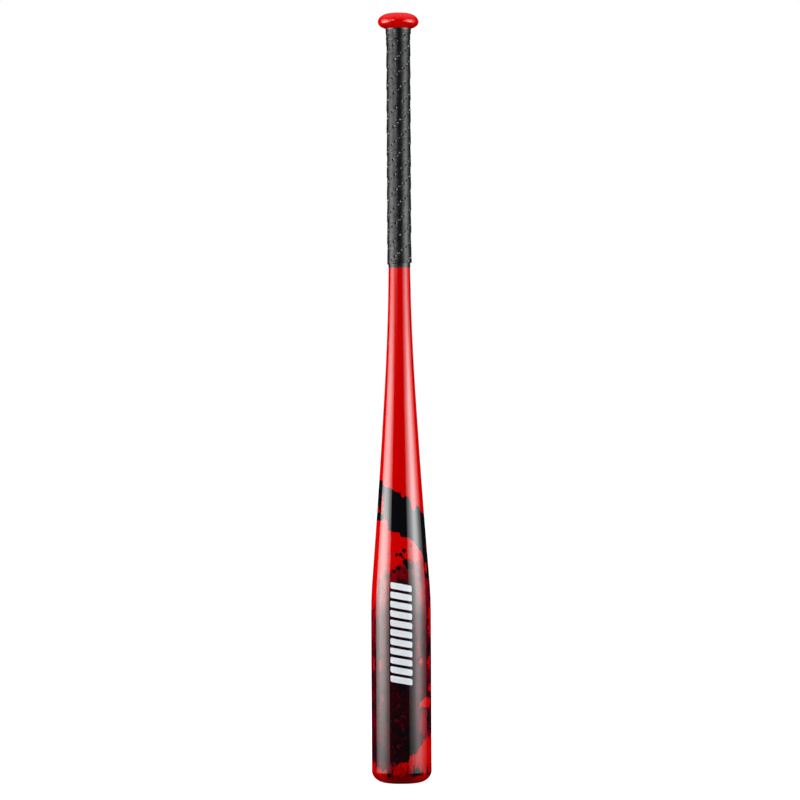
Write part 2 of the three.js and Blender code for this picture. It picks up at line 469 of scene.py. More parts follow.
# angle, height, half width in degrees, half height
RED_PATCHES = [
    (55, 90, 20, 6),
    (82, 181, 19, 22),
    (68, 136, 8, 9),
    (41, 136, 4.5, 4.5),
    (78, 106, 17, 5),
    (-66, 134, 5, 8),
    (-52, 312, 4.5, 13),
    (-78, 304, 12, 4),
    (29, 309, 3, 3),
    (90, 263, 18, 7),
    (64, 240, 5, 6),
    (-150, 120, 14, 9),
    (165, 190, 12, 14),
    (125, 150, 8, 20),
]
# the same, for thin patches of red that the black shows through
THIN_PATCHES = [
    (48, 70, 13, 22),
    (60, 46, 7, 16),
    (-44, 132, 5, 7),
    (-40, 96, 4, 6),
    (-14, 17, 13, 9),
    (44, 212, 12, 16),
    (36, 152, 5, 12),
    (-140, 70, 16, 18),
    (150, 60, 14, 20),
]
# angle, height, radius
BLACK_SPECKS = [
    (-9, 255, 2.2),
    (0, 255, 2.5),
    (7.5, 259.5, 2.5),
    (4, 251.5, 1.6),
    (9, 246.5, 4.0),
    (15, 243, 4.6),
    (22, 242, 3.4),
    (-6, 240.5, 2.8),
    (-14, 236.5, 2.4),
    (24, 264.6, 1.5),
    (-27, 256, 1.1),
]


def blob(graph, angle, height, centre, half_width, half_height):
    """A field that is 1 at the centre of an ellipse and 0 at its rim."""
    across = (angle - centre[0]) / half_width
    along = (height - centre[1]) / half_height
    return 1.0 - (across.square() + along.square())


def barrel_graphic(graph, vector, x, y, z):
    """The paint colour of the shell: red, a torn black band, dark grunge below it, and painted
    shade with grime at the foot.
    """
    angle = graph.math("DEGREES", graph.math("ARCTAN2", x, -y))
    height = z / MM
    torn = graph.noise(vector, 9 * MM, detail=5, roughness=0.6) - 0.5
    crumbs = graph.noise(vector, 2.2 * MM, detail=3, roughness=0.6) - 0.5
    splash = graph.noise(vector, 22 * MM, detail=6, roughness=0.68) - 0.5

    band_height = height + torn * 7.0 + crumbs * 2.5
    below_top = (graph.curve(angle, BAND_TOP) - band_height).over(0, 0.5)
    above_bottom = (band_height - graph.curve(angle, BAND_BOTTOM)).over(0, 0.5)
    held = (graph.curve(angle, BAND_HOLD) + splash + crumbs * 0.5).over(0, 0.06)
    black = below_top & above_bottom & held

    # Below the band the red is spattered, then stained dark, then black with dim mottling.
    spread = graph.curve(angle, GRUNGE_SPREAD)
    frayed_height = height + splash * SPLASH_REACH + crumbs * CRUMB_REACH
    depth = graph.curve(angle, GRUNGE_TOP) - frayed_height
    stain = graph.math("DIVIDE", depth, spread, clamp=True)
    for centre_angle, centre_height, radius in BLACK_SPECKS:
        degrees = math.degrees(radius * MM / BARREL_RADIUS)
        speck = blob(graph, angle, height, (centre_angle, centre_height), degrees, radius)
        black = black | (speck + crumbs * 2.4 + torn * 1.6).over(0.15, 0.25)

    clearing = 0.0
    for row in RED_PATCHES:
        patch = blob(graph, angle, height, row[:2], *row[2:])
        clearing = (patch + torn * 3.5 + crumbs * 3.0).over(0.2, 0.3) | clearing
    thinning = 0.0
    for row in THIN_PATCHES:
        patch = blob(graph, angle, height, row[:2], *row[2:])
        thinning = (patch + torn * 4.0 + crumbs * 2.0).over(0.5, 1.0) | thinning

    brushed = graph.noise(graph.vector(x, y, z * 0.12), 3.5 * MM, detail=3, roughness=0.6)
    foot_height = height + torn * 8.0 + crumbs * 4.0 + (brushed - 0.5) * 14.0
    foot = (graph.curve(angle, FOOT_RED_TOP) - foot_height).over(0, 0.8)
    bristles = graph.curve(angle, FOOT_BRISTLES) * 0.16
    streaks = (brushed + bristles + (13.0 - height) * 0.012 + splash * 0.3).over(0.62, 0.05)
    streaks = streaks & (height - crumbs * 5.0 - torn * 9.0).over(9.5, 2.5)
    streaks = streaks & (21.0 - height).over(0, 4.0)
    # Painted shade and grime at the foot: the red darkens in blotches, more towards the bottom and
    # most at the front.
    shade_and_grime_blotches = graph.noise(graph.vector(x, y, z * 0.6), 2.6 * MM, detail=4, roughness=0.65)
    foot_shade_and_grime = (shade_and_grime_blotches + torn * 0.3 + (17.0 - height) * 0.012).over(0.5, 0.2)
    foot_shade_and_grime = foot_shade_and_grime & graph.curve(angle, FOOT_SHADE_AND_GRIME)

    mottle = graph.noise(graph.vector(x, y, z * 0.6), 6 * MM, detail=4, roughness=0.62)
    bloom = graph.noise(graph.vector(x, y, z * 0.7), 11 * MM, detail=4, roughness=0.6)
    sparks = graph.noise(graph.vector(x, y, z * 0.7), 4 * MM, detail=3, roughness=0.6)
    beside = graph.curve(angle, SIDE_BLOOM)
    pitch_black = rgb(0.003, 0.003, 0.004)
    ink = graph.mix(mottle.over(0.56, 0.25), pitch_black, rgb(0.026, 0.0, 0.002))
    ink = graph.mix(bloom.over(0.52, 0.26) & beside, ink, rgb(0.105, 0.0, 0.006))
    ink = graph.mix((sparks + splash * 0.3).over(0.68, 0.18), ink, rgb(0.13, 0.0, 0.003))
    ink = graph.mix(thinning & 0.7, ink, rgb(0.30, 0.0, 0.008))
    red = red_paint(graph, vector)
    grime = graph.noise(graph.vector(x, y, z * 0.5), 5 * MM, detail=4, roughness=0.6)
    stained = graph.mix((grime + torn * 0.4).over(0.48, 0.30), ink, rgb(0.33, 0.0, 0.004))
    colour = graph.mix(stain.over(0.08, 0.14), red, stained)
    colour = graph.mix(stain.over(0.66, 0.6), colour, ink)
    # the red at the foot, darkened with painted shade and grime
    foot_red = graph.mix(foot_shade_and_grime, red, rgb(0.15, 0.0, 0.001))
    colour = graph.mix(foot, colour, foot_red)
    colour = graph.mix(streaks & foot, colour, pitch_black)
    colour = graph.mix(black, colour, pitch_black)
    return graph.mix(clearing, colour, red)


def printed_lacquer():
    graph = Graph("red_lacquer")
    vector, (x, y, z) = graph.position()
    return lacquer_finish(graph, vector, barrel_graphic(graph, vector, x, y, z))


def printed_white():
    """Screen-printed white under the same clear coat, slightly thin in places."""
    graph = Graph("printed_white")
    vector, _ = graph.position()
    thin = graph.noise(vector, 3 * MM, detail=4, roughness=0.7)
    colour = graph.mix(thin.over(0.5, 0.5), rgb(0.80, 0.84, 0.88), rgb(0.70, 0.74, 0.78))
    return lacquer_finish(graph, vector, colour)


def printed_black():
    graph = Graph("printed_black")
    vector, _ = graph.position()
    thin = graph.noise(vector, 4 * MM, detail=4)
    colour = graph.mix(thin.over(0.6, 0.2), rgb(0.002, 0.002, 0.003), rgb(0.012, 0.0, 0.001))
    return lacquer_finish(graph, vector, colour)


def moulded_red_polymer():
    """The end cap: dyed plastic, a little duller than the lacquer, with moulding rings."""
    graph = Graph("cap_polymer")
    vector, (x, y, z) = graph.position()
    cloud = graph.noise(vector, 12 * MM, detail=4)
    colour = graph.mix(cloud, rgb(0.58, 0.0, 0.0), rgb(0.66, 0.004, 0.003))
    radius = graph.math("SQRT", x.square() + y.square())
    rings = graph.math("SINE", radius * (2 * math.pi / (0.9 * MM))) * 0.5 + 0.5
    grain = graph.noise(vector, 0.6 * MM, detail=3)
    relief = rings * 0.4 + grain * 0.6
    return graph.finish(
        Base_Color=colour,
        Roughness=0.16 + cloud * 0.1,
        IOR=1.5,
        Normal=graph.bump(relief, 0.01 * MM),
    )


def grip_leatherette():
    """Black synthetic leather: pebbled grain, a soft sheen and palms' worth of polish."""
    graph = Graph("grip_leatherette")
    vector, (x, y, z) = graph.position()
    pebbles = graph.add("TexVoronoi", {"feature": "SMOOTH_F1"}, Vector=vector, Scale=1 / (0.7 * MM))
    pebble = Field(graph, pebbles.outputs["Distance"])
    fine = graph.noise(vector, 0.35 * MM, detail=4, roughness=0.6)
    creases = graph.noise(graph.vector(x, y, z * 2.4), 6 * MM, detail=5, roughness=0.62)
    polish = graph.noise(vector, 18 * MM, detail=4)
    colour = graph.mix(polish, rgb(0.003, 0.0032, 0.0036), rgb(0.006, 0.0063, 0.007))
    relief = graph.bump(pebble * 0.5 + fine * 0.5, 0.035 * MM)
    pressed = Field(graph, graph.add("Attribute", {"attribute_name": PRESSED}).outputs["Fac"])
    luck = graph.noise(vector, 5 * MM, detail=1)
    shiny = pressed * luck.over(0.5, 0.4)
    worn = 0.19 + polish * 0.16 + fine * 0.05
    return graph.finish(
        Base_Color=colour,
        Roughness=worn * (1.0 - shiny * 0.5),
        IOR=1.45 + shiny * 0.5,
        Normal=graph.bump(creases, 0.32 * MM, normal=relief),
    )


def black_vinyl():
    """Glossy black tape: smooth film that shows its stretch lines round the bat."""
    graph = Graph("black_vinyl")
    vector, (x, y, z) = graph.position()
    stretch = graph.noise(graph.vector(x, y, z * 5.0), 5 * MM, detail=4)
    haze = graph.noise(vector, 9 * MM, detail=3)
    colour = graph.mix(haze, rgb(0.004, 0.006, 0.007), rgb(0.008, 0.012, 0.014))
    return graph.finish(
        Base_Color=colour,
        Roughness=0.20 + haze * 0.12,
        IOR=1.48,
        Normal=graph.bump(stretch, 0.08 * MM),
    )


def plug_plastic():
    graph = Graph("plug_plastic")
    vector, _ = graph.position()
    cloud = graph.noise(vector, 4 * MM, detail=3)
    grain = graph.noise(vector, 0.25 * MM, detail=3)
    colour = graph.mix(cloud, rgb(0.010, 0.010, 0.011), rgb(0.022, 0.022, 0.024))
    return graph.finish(
        Base_Color=colour,
        Roughness=0.38 + cloud * 0.12,
        Normal=graph.bump(grain, 0.02 * MM),
    )


def cotton_adhesive():
    """Cloth-backed adhesive strip: a plain weave soaked with pale glue."""
    graph = Graph("adhesive_tape")
    vector, (x, y, z) = graph.position()
    angle = graph.math("ARCTAN2", x, -y)
    warp = graph.math("SINE", angle * 180.0)
    weft = graph.math("SINE", z * (2 * math.pi / (0.42 * MM)))
    weave = (warp * weft) * 0.5 + 0.5
    glue = graph.noise(vector, 3 * MM, detail=4)
    colour = graph.mix(glue.over(0.5, 0.4), rgb(0.62, 0.57, 0.44), rgb(0.74, 0.70, 0.60))
    return graph.finish(
        Base_Color=colour,
        Roughness=0.78 - glue * 0.2,
        Normal=graph.bump(weave, 0.06 * MM),
    )


def damping_foam():
    """Closed-cell foam: charcoal, with a skin of tiny burst bubbles."""
    graph = Graph("foam")
    vector, _ = graph.position()
    cells = graph.add("TexVoronoi", {}, Vector=vector, Scale=1 / (1.1 * MM))
    cell = Field(graph, cells.outputs["Distance"])
    cloud = graph.noise(vector, 9 * MM, detail=3)
    colour = graph.mix(cloud, rgb(0.045, 0.046, 0.05), rgb(0.075, 0.076, 0.08))
    return graph.finish(
        Base_Color=colour,
        Roughness=0.92 - cell * 0.1,
        Normal=graph.bump(cell, 0.25 * MM),
    )


def bare_weld():
    """Raw aluminium weld: overlapping ripples with a light oxide bloom."""
    graph = Graph("bare_weld")
    vector, (x, y, z) = graph.position()
    angle = graph.math("ARCTAN2", x, -y)
    wobble = graph.noise(vector, 3 * MM, detail=2)
    ripple = graph.math("SINE", angle * 44.0 + wobble * 3.0) * 0.5 + 0.5
    bloom = graph.noise(vector, 2 * MM, detail=5)
    colour = graph.mix(bloom, rgb(0.62, 0.63, 0.64), rgb(0.80, 0.81, 0.82))
    return graph.finish(
        Base_Color=colour,
        Metallic=1.0,
        Roughness=0.30 + bloom * 0.25,
        Normal=graph.bump(ripple, 0.15 * MM),
    )


# ---------------------------------------------------------------- turned pieces


# height and radius in millimetres of the slope from the foot up to the barrel's side
FOOT_SLOPE = [(0, 18.5), (3.1, 27.0), (5.3, 29.1), (9.6, 32.15), (13.3, 33.35)]
FOOT_CROWN = 1.1 * MM
FOOT_BOW_OUT, FOOT_BOW_DOWN = 0.81, 0.58     # the way the crown bows, square to the slope
FOOT_STEP = 0.8 * MM
CAD_FOOT_TOP = 20 * MM        # above the whole foot
SHELL_BEVEL = 0.25 * MM


def build_shell():
    outline, closed = fine_turning("bat_shell", SHELL_BEVEL)
    mesh = turned_mesh("bat_shell_fine", crowned_foot(outline, closed), closed)
    add_piece("bat_shell_fine", mesh, printed_lacquer(), "red_lacquer", "bat_shell")


def build_end_cap():
    outline, closed = fine_turning("end_cap", bevel=0.3 * MM)
    mesh = turned_mesh("end_cap_fine", crowned_foot(outline, closed), closed)
    add_piece("end_cap_fine", mesh, moulded_red_polymer(), "cap_polymer", "end_cap")


def build_knob():
    outline, closed = fine_turning("knob", bevel=0.35 * MM)
    mesh = turned_mesh("knob_fine", outline, closed)
    add_piece("knob_fine", mesh, plain_red_lacquer("knob_lacquer"), "knob_lacquer", "knob")


def build_knob_plug():
    outline, closed = fine_turning("knob_end_plug", bevel=0.3 * MM)
    mesh = turned_mesh("knob_end_plug_fine", outline, closed, segments=96)
    add_piece(
        "knob_end_plug_fine", mesh, plug_plastic(), "plug_plastic", "knob_end_plug"
    )


def build_finish_tape(vinyl):
    outline, closed = fine_turning("grip_finish_tape", bevel=0.05 * MM, spacing=1.2 * MM)
    mesh = turned_mesh("grip_finish_tape_fine", outline, closed)
    add_piece("grip_finish_tape_fine", mesh, vinyl, "black_vinyl", "grip_finish_tape")


def build_knob_tape(vinyl):
    """The tape round the neck, stretched down over the end of the grip."""
    points, _ = meridian("knob_end_tape")
    inner_foot, inner_waist, inner_top, outer_top = points[:4]
    skin = 0.1 * MM
    lap_radius = GRIP_RADIUS + 0.90 * MM
    lap_foot = GRIP_HIGH - 0.5 * MM
    outline = np.array([
        inner_foot,
        inner_waist,
        inner_top,
        outer_top,
        (lap_radius + 0.15 * MM, inner_waist[1] + 0.6 * MM),
        (lap_radius + skin, inner_foot[1]),
        (lap_radius + skin, lap_foot),
        (lap_radius, lap_foot),
        (lap_radius, inner_foot[1]),
    ])
    outline = smoothed(rounded_corners(outline, True, 0.04 * MM), True, 0.8 * MM)
    mesh = turned_mesh("knob_end_tape_fine", outline, True)
    add_piece("knob_end_tape_fine", mesh, vinyl, "black_vinyl", "knob_end_tape")


# ------------------------------------------------------------------------ grip

GRIP_LOW, GRIP_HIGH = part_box("grip_tape")[0].z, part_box("grip_tape")[1].z
GRIP_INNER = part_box("grip_finish_tape")[1].x
GRIP_PITCH = 24.6 * MM        # one turn of the strip, along the bat
GRIP_SEAM = 533.4 * MM        # height of the lapped edge at the front, a turn before the start
GRIP_START = math.radians(65.5)
GRIP_RADIUS = 13.12 * MM      # outside of the strip where the next turn covers it
TURN_STEPS = 159              # edge points in one turn
TILE_STEPS = 60               # edge points in one repeat of the perforation
TILE_COUNT = 33
STEP_ANGLE = 2 * math.pi / TURN_STEPS
TILE_ANGLE = STEP_ANGLE * TILE_STEPS
LEATHER_SPACING = 0.8 * MM
HOLE_COUNT = 10               # perforations in one repeat, in one slanting row
HOLE_START = math.radians(53.3)
HOLE_RIM = 1.65 * MM
# radius and depth of each ring of a perforation, from its soft rim to its floor
HOLE_RINGS = [(1.65, 0), (1.55, 0.03), (1.38, 0.11), (1.08, 0.32), (0.78, 0.54), (0.52, 0.72),
              (0.3, 0.8)]
HOLE_DEPTH = 0.82
HOLE_SIDES = 16
PRESSED = "pressed"           # mesh attribute: 1 inside a perforation, where the tool polished it
# how the lapped edge rolls over: distance in from the edge, height above the turn below
EDGE_ROLL = [(0, 0, 0), (0.10, 0.18, -0.10), (0.22, 0.36, -0.12), (0.36, 0.46, -0.02),
             (0.55, 0.50, 0), (0.90, 0.48, 0)]


def foot_cut(x):
    """Height where the strip is cut off above the barrel, for a point at x on a unit circle."""
    return GRIP_LOW + (1.6 + 0.9 * x) * MM


def smooth_step(value, low, high):
    share = min(max((value - low) / (high - low), 0.0), 1.0)
    return share * share * (3 - 2 * share)


def hole_centres():
    """Where the perforations of one repeat sit: angle along it, distance in from its edge.
    The rows continue from turn to turn as one slanting line."""
    spacing = GRIP_PITCH / HOLE_COUNT
    turns_per_row = 4 * TILE_STEPS / TURN_STEPS - 1
    for index in range(1, HOLE_COUNT):
        across = index * spacing
        angle = HOLE_START + across / GRIP_PITCH * turns_per_row * 2 * math.pi
        yield angle % TILE_ANGLE, across


def strip_tile():
    """One repeat of the perforated strip laid flat: points (angle, distance in from the
    lapped edge, depth below the surface) and triangles between them."""
    points = []
    radius = GRIP_RADIUS
    holes = list(hole_centres())
    roll = [entry[0] * MM for entry in EDGE_ROLL]
    for across in roll + [GRIP_PITCH]:
        points += [(step * STEP_ANGLE, across, 0.0) for step in range(TILE_STEPS + 1)]
    rows = round((GRIP_PITCH - roll[-1]) / LEATHER_SPACING)
    columns = round(TILE_ANGLE * radius / LEATHER_SPACING)
    for row in range(1, rows):
        across = roll[-1] + (GRIP_PITCH - roll[-1]) * row / rows
        shift = 0.5 * (row % 2)
        places = {0.0, float(columns)} | {column + shift for column in range(1, columns)}
        for place in sorted(places):
            angle = TILE_ANGLE * min(place, columns) / columns
            gap = min(
                math.hypot((angle - hole[0]) * radius, across - hole[1]) for hole in holes
            )
            if gap > HOLE_RIM + 0.35 * LEATHER_SPACING or place in (0, columns):
                points.append((angle, across, 0.0))
    for angle, across in holes:
        points.append((angle, across, HOLE_DEPTH * MM))
        for ring, depth in HOLE_RINGS:
            for side in range(HOLE_SIDES):
                turn = 2 * math.pi * (side + 0.5) / HOLE_SIDES
                points.append(
                    (
                        angle + ring * MM * math.cos(turn) / radius,
                        across + ring * MM * math.sin(turn),
                        depth * MM,
                    )
                )
    flat = [Vector((angle * radius / MM, across / MM)) for angle, across, _ in points]
    _, _, triangles, origins = geometry.delaunay_2d_cdt(flat, [], [], 0, 1e-7)[:4]
    return [points[origin[0]] for origin in origins], triangles


def seam_sway(angle, share):
    """How far the winding wanders, so that a turn's top edge meets the next turn's foot."""
    below = noise.noise(Vector((angle * 0.9, 7.0, 0.0)))
    above = noise.noise(Vector(((angle + 2 * math.pi) * 0.9, 7.0, 0.0)))
    return below + (above - below) * share


def leather_surface(angle, across, depth):
    """Place of a point of the wound strip. Every turn hides the edge of the turn below."""
    height = GRIP_SEAM + GRIP_PITCH * angle / (2 * math.pi) + across
    away, rise, shift = np.array(EDGE_ROLL).T * MM
    lap = np.interp(across, away, rise) if across < away[-1] else rise[-1]
    fall = smooth_step(across, away[-1], GRIP_PITCH)
    radius = GRIP_RADIUS + lap * (1 - fall)
    height += np.interp(across, away, shift) if across < away[-1] else 0.0

    x, y = math.sin(angle), -math.cos(angle)
    calm = smooth_step(min(across, GRIP_PITCH - across), 0.0, 2 * MM)
    calm *= smooth_step(height, GRIP_HIGH, GRIP_HIGH - 6 * MM)
    place = Vector((x * GRIP_RADIUS, y * GRIP_RADIUS, height))
    bulges = noise.fractal(place / (7 * MM), 0.6, 2.0, 3)
    folds = noise.fractal(Vector((angle * 1.3, height / (2.6 * MM), 3.0)), 0.7, 2.0, 3)
    radius += (0.11 * bulges + 0.07 * folds) * MM * calm
    height += 0.35 * MM * seam_sway(angle, across / GRIP_PITCH)

    # the last few millimetres are doubled under the knob, and gathered above the barrel
    radius += 0.3 * MM * smooth_step(height, GRIP_HIGH - 8.5 * MM, GRIP_HIGH - 6.5 * MM)
    foot = smooth_step(height, GRIP_LOW + 16 * MM, GRIP_LOW + 4 * MM)
    pleats = math.sin(height / (0.62 * MM) + 2 * x + 3 * bulges)
    radius += foot * (0.30 + 0.42 * x + 0.06 * pleats) * MM
    into = min(max(1 - (height - foot_cut(x)) / (1.1 * MM), 0.0), 1.0)
    radius -= 0.6 * MM * (1 - math.sqrt(1 - into * into * 0.98)) + depth
    return Vector((x * radius, y * radius, height))


def trim(solid, height, slope, keep_above):
    """Cuts a bmesh at a height, sloping along X, and returns the edges of the cut."""
    cut = bmesh.ops.bisect_plane(
        solid,
        geom=solid.verts[:] + solid.edges[:] + solid.faces[:],
        plane_co=(0, 0, height),
        plane_no=(-slope, 0, 1),
        clear_inner=keep_above,
        clear_outer=not keep_above,
    )
    return [item for item in cut["geom_cut"] if isinstance(item, bmesh.types.BMEdge)]


def turn_in(solid, rim):
    """Carries a cut rim in to the inside of the grip and returns the new rim."""
    made = bmesh.ops.extrude_edge_only(solid, edges=rim)["geom"]
    for vertex in made:
        if isinstance(vertex, bmesh.types.BMVert):
            outward = Vector((vertex.co.x, vertex.co.y, 0)).normalized()
            vertex.co = outward * GRIP_INNER + Vector((0, 0, vertex.co.z))
    return [item for item in made if isinstance(item, bmesh.types.BMEdge)]


def turn_of(corner):
    """The angle of a bmesh corner round the bat, from the front."""
    return math.atan2(corner.co.x, -corner.co.y)


def around(rim):
    """The corners of a closed rim with their angles, once round and back to the first."""
    beside = {}
    for edge in rim:
        first, second = edge.verts
        beside.setdefault(first, []).append(second)
        beside.setdefault(second, []).append(first)
    start = min(beside, key=turn_of)
    walk = [start, min(beside[start], key=turn_of)]
    while len(walk) < len(beside):
        back, here = walk[-2:]
        walk.append(next(corner for corner in beside[here] if corner != back))
    angles = [turn_of(corner) for corner in walk]
    return list(zip(angles + [angles[0] + 2 * math.pi], walk + [start]))


def line_bore(solid, low_rim, high_rim):
    """Closes the inside of the grip with a straight wall between its two inner rims."""
    low, high = around(low_rim), around(high_rim)
    last_low, last_high = len(low) - 1, len(high) - 1
    i = j = 0
    while i < last_low or j < last_high:
        if j == last_high or (i < last_low and low[i + 1][0] <= high[j + 1][0]):
            solid.faces.new((low[i][1], low[i + 1][1], high[j][1]))
            i += 1
        else:
            solid.faces.new((low[i][1], high[j + 1][1], high[j][1]))
            j += 1


def build_grip():
    tile, triangles = strip_tile()
    solid = bmesh.new()
    pressed = solid.verts.layers.float.new(PRESSED)
    for index in range(TILE_COUNT):
        corners = []
        start = GRIP_START + index * TILE_ANGLE
        for angle, across, depth in tile:
            corner = solid.verts.new(leather_surface(start + angle, across, depth))
            corner[pressed] = float(depth > 0)
            corners.append(corner)
        for triangle in triangles:
            solid.faces.new([corners[corner] for corner in triangle])
    bmesh.ops.remove_doubles(solid, verts=solid.verts, dist=4 * WELD)
    foot_slope = (foot_cut(1.0) - foot_cut(0.0)) / GRIP_RADIUS
    foot = trim(solid, foot_cut(0.0), foot_slope, keep_above=True)
    head = trim(solid, GRIP_HIGH, 0.0, keep_above=False)
    line_bore(solid, turn_in(solid, foot), turn_in(solid, head))
    bmesh.ops.recalc_face_normals(solid, faces=solid.faces)
    mesh = bpy.data.meshes.new("grip_tape_fine")
    solid.to_mesh(mesh)
    solid.free()
    add_piece("grip_tape_fine", mesh, grip_leatherette(), "grip_leatherette", "grip_tape")


# --------------------------------------------------------- printed emblem bars

EMBLEM_LOW, EMBLEM_HIGH = 112.5 * MM, 222.8 * MM
EMBLEM_LEFT, EMBLEM_RIGHT = -12.2 * MM, 12.5 * MM
EMBLEM_BARS = 11
EMBLEM_FILL = 0.68            # share of each pitch that is white
EMBLEM_SLOPE = -0.18          # the right end of each bar is lower
EMBLEM_CORNER = 1.6 * MM
EMBLEM_OUTLINE = 1.1 * MM
PRINT_PROUD = 0.03 * MM
EMBLEM_REACH = 2.2 * MM       # more than the taper comes in at the emblem, less than the wall


def bar_outline(left, right, low, high, corner):
    """Columns (across, lowest, highest) of a level bar with rounded corners."""
    steps = max(8, round((right - left) / (0.6 * MM)))
    corner = min(corner, (high - low) / 2)
    places = set(np.linspace(left + corner, right - corner, steps))
    for angle in np.linspace(0, math.pi / 2, 6):
        places.add(left + corner - corner * math.cos(angle))
        places.add(right - corner + corner * math.cos(angle))
    for across in sorted(places):
        inset = max(left + corner - across, across - right + corner, 0.0)
        pull = corner - math.sqrt(max(corner**2 - inset**2, 0.0))
        yield across, low + pull, high - pull


def barrel_side():
    """Heights up the printed part of the barrel, and the shell's outer radius at each."""
    outline, _ = fine_turning("bat_shell", SHELL_BEVEL)
    radii, heights = outline.T
    outside = (radii > BARREL_RADIUS - EMBLEM_REACH) & (heights > CAD_FOOT_TOP)
    order = np.argsort(heights[outside])
    return heights[outside][order], radii[outside][order]


def bar_mesh(name, bars, proud):
    """Thin printed patches that follow the barrel and its taper, as closed skins."""
    side = barrel_side()
    vertices = []
    faces = []
    for left, right, low, high, corner in bars:
        first = len(vertices)
        columns = list(bar_outline(left, right, low, high, corner))
        for across, bottom, top in columns:
            angle = across / BARREL_RADIUS
            for height in (bottom, top):
                height = height + EMBLEM_SLOPE * across
                surface = np.interp(height, *side)
                for radius in (surface - PRINT_PROUD, surface + proud):
                    vertices.append(
                        (radius * math.sin(angle), -radius * math.cos(angle), height)
                    )
        for index in range(len(columns) - 1):
            here = first + 4 * index
            for a, b in ((0, 1), (1, 3), (3, 2), (2, 0)):
                faces.append((here + a, here + b, here + b + 4, here + a + 4))
        last = first + 4 * (len(columns) - 1)
        faces.append((first, first + 1, first + 3, first + 2))
        faces.append((last, last + 1, last + 3, last + 2))
    return mesh_from(name, vertices, faces)


def emblem_bars(grow):
    """The bars of the emblem, one above the other, each grown on all sides."""
    pitch = (EMBLEM_HIGH - EMBLEM_LOW) / (EMBLEM_BARS - 1 + EMBLEM_FILL)
    for index in range(EMBLEM_BARS):
        low = EMBLEM_LOW + pitch * index - grow
        high = low + pitch * EMBLEM_FILL + 2 * grow
        yield EMBLEM_LEFT - grow, EMBLEM_RIGHT + grow, low, high, EMBLEM_CORNER + grow


def build_emblem():
    shade = bar_mesh("emblem_outline", emblem_bars(EMBLEM_OUTLINE), PRINT_PROUD)
    add_piece("emblem_outline", shade, printed_black(), "red_lacquer")
    bars = bar_mesh("emblem_bars", emblem_bars(0.0), 2 * PRINT_PROUD)
    add_piece("emblem_bars", bars, printed_white(), "red_lacquer")


# ------------------------------------------------------- stage, light and view

CAMERA_DISTANCE = 3.9
FIELD_WIDTH = 0.893           # metres of the bat's plane across the whole picture
CAMERA_HEIGHT = BAT_HEIGHT * 0.497
CAMERA_ROLL = math.radians(0.28)
SENSOR_WIDTH = 36.0
FLOOR_RADIUS = 40.0
CARD_DISTANCE = 1.5
CARD_STRENGTH = 12.0
# Each card: its colour, its brightness by angle from the camera in degrees, left negative,
# and its brightness by height in metres.
CARDS = {
    "left_card": (
        (1.0, 0.99, 0.97),
        [(-112, 0.24), (-98, 0.60), (-81, 1.0), (-67, 0.86), (-54, 0.38), (-46, 0.24)],
        [(-0.3, 0.0), (-0.164, 0.2), (-0.09, 0.34), (0.10, 0.68), (0.30, 0.98), (0.408, 1.0),
         (0.44, 0.9), (0.505, 0.8), (0.585, 0.72), (0.65, 0.42), (0.9, 0.37), (1.2, 0.3),
         (1.5, 0.0)],
    ),
    "upper_left_card": (
        (0.88, 0.91, 1.0),
        [(-58, 0.0), (-46, 0.40), (-35, 0.60), (-27, 0.42), (-18, 0.0)],
        [(0.64, 0.0), (0.70, 0.26), (0.78, 0.48), (0.86, 0.8), (0.95, 1.1), (1.1, 1.0), (1.3, 0.0)],
    ),
    "right_card": (
        (0.98, 0.99, 1.0),
        [(30, 0.10), (41, 0.32), (54, 0.66), (67, 1.0), (81, 0.70), (97, 0.22), (112, 0.06)],
        [(-0.3, 0.0), (-0.13, 0.20), (-0.04, 0.33), (0.07, 0.44), (0.117, 0.54), (0.16, 0.68),
         (0.33, 0.86), (0.408, 1.0), (0.505, 0.94), (0.585, 0.9), (0.65, 0.45), (0.9, 0.40),
         (1.2, 0.3), (1.5, 0.0)],
    ),
}
TOP_LIGHT_RISE = 0.6          # above the knob
TOP_LIGHT_SIZE = 0.7
TOP_LIGHT_POWER = 9.0


def unseen_by_camera(thing):
    thing.visible_camera = False
    thing.visible_shadow = False


def card_glow(name, colour, by_angle, by_height):
    graph = Graph(name)
    _, (x, y, z) = graph.position()
    angle = graph.math("DEGREES", graph.math("ARCTAN2", x, -y))
    glow = graph.curve(angle, by_angle) * graph.curve(z, by_height)
    shine = graph.add("Emission", Color=rgb(*colour), Strength=glow * CARD_STRENGTH)
    graph.add("OutputMaterial", Surface=shine.outputs[0])
    return graph.material


def build_card(name, colour, by_angle, by_height):
    """A curved diffuser beside the bat that lights it and shows in its gloss."""
    first, last = by_angle[0][0], by_angle[-1][0]
    low, high = by_height[0][0], by_height[-1][0]
    steps = 48
    vertices = []
    faces = []
    for column in range(steps + 1):
        angle = math.radians(first + (last - first) * column / steps)
        x, y = CARD_DISTANCE * math.sin(angle), -CARD_DISTANCE * math.cos(angle)
        vertices += [(x, y, low), (x, y, high)]
    for column in range(steps):
        corner = 2 * column
        faces.append((corner, corner + 1, corner + 3, corner + 2))
    mesh = bpy.data.meshes.new(name)
    mesh.from_pydata(vertices, [], faces)
    mesh.materials.append(card_glow(name, colour, by_angle, by_height))
    card = bpy.data.objects.new(name, mesh)
    bpy.context.scene.collection.objects.link(card)
    unseen_by_camera(card)


def build_top_light():
    """A soft light over the knob that the gloss doesn't show."""
    lamp = bpy.data.lights.new("top_light", "AREA")
    lamp.shape = "DISK"
    lamp.size = TOP_LIGHT_SIZE
    lamp.energy = TOP_LIGHT_POWER
    light = bpy.data.objects.new("top_light", lamp)
    bpy.context.scene.collection.objects.link(light)
    light.location = (0, 0, BAT_HEIGHT + TOP_LIGHT_RISE)
    unseen_by_camera(light)
    light.visible_glossy = False


